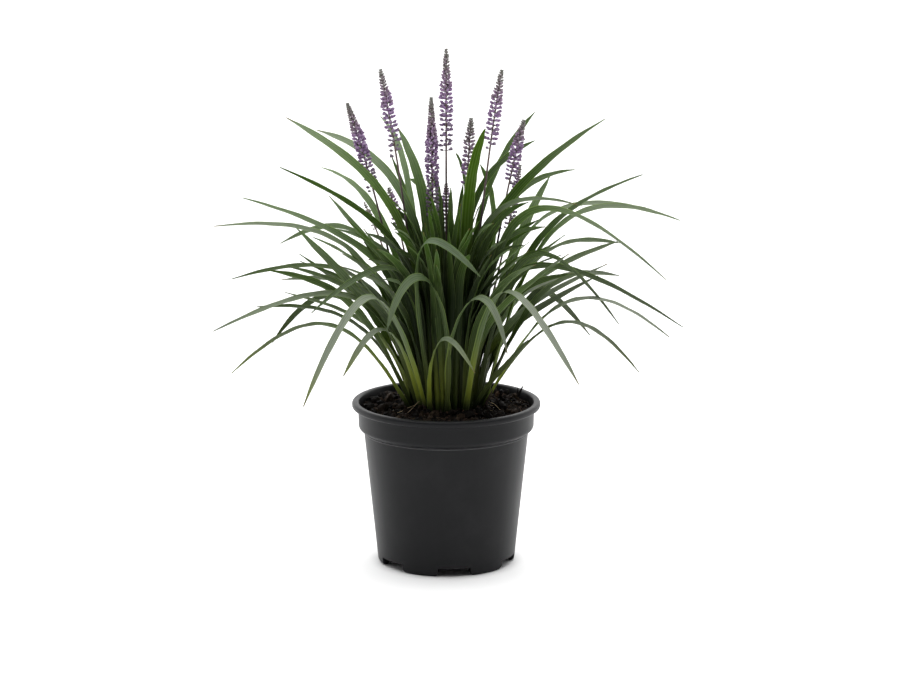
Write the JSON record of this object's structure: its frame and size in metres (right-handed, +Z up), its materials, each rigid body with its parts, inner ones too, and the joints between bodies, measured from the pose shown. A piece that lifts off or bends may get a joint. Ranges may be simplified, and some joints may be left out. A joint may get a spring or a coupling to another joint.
{
  "type": "potted plant",
  "caption": "Potted liriope: a clump of arching strap leaves with upright purple flower spikes in a round tapered nursery pot with a notched foot.",
  "frame": {"origin": "on the pot's axis, at the ground plane under its foot, which is the bottom centre of the whole plant", "axes": "+Z up along the pot's axis, which is also the longest extent; the front, where the low leaves arch over the rim, faces -Y; +X is to the right when seen from the front"},
  "size_m": [0.4685, 0.4002, 0.517],
  "materials": {
    "pot_plastic": "satin black moulded polypropylene",
    "potting_mix": "rough dark peat and composted bark; wood stands in, because the list has no soil",
    "leaf": "leathery, half matt; leather stands in, because the list has no foliage",
    "young_leaf": "leathery, half matt, brighter than the old leaves",
    "flower_stem": "matt, with waxy buds"
  },
  "bodies": {
    "root": {"pot": "pot_plastic", "potting_mix": "potting_mix", "leaf_heart": "young_leaf", "leaf_fan_01": "leaf", "leaf_fan_02": "leaf", "leaf_fan_03": "leaf", "leaf_fan_04": "leaf", "leaf_fan_05": "leaf", "leaf_fan_06": "leaf", "leaf_fan_07": "leaf", "leaf_fan_08": "leaf", "leaf_fan_09": "leaf", "leaf_fan_10": "leaf", "leaf_fan_11": "leaf", "leaf_fan_12": "leaf", "flower_stem_01": "flower_stem", "flower_stem_02": "flower_stem", "flower_stem_03": "flower_stem", "flower_stem_04": "flower_stem", "flower_stem_05": "flower_stem", "flower_stem_06": "flower_stem", "flower_stem_07": "flower_stem", "flower_stem_08": "flower_stem", "flower_stem_09": "flower_stem", "flower_stem_10": "flower_stem", "flower_stem_11": "flower_stem"}
  },
  "joints": []
}
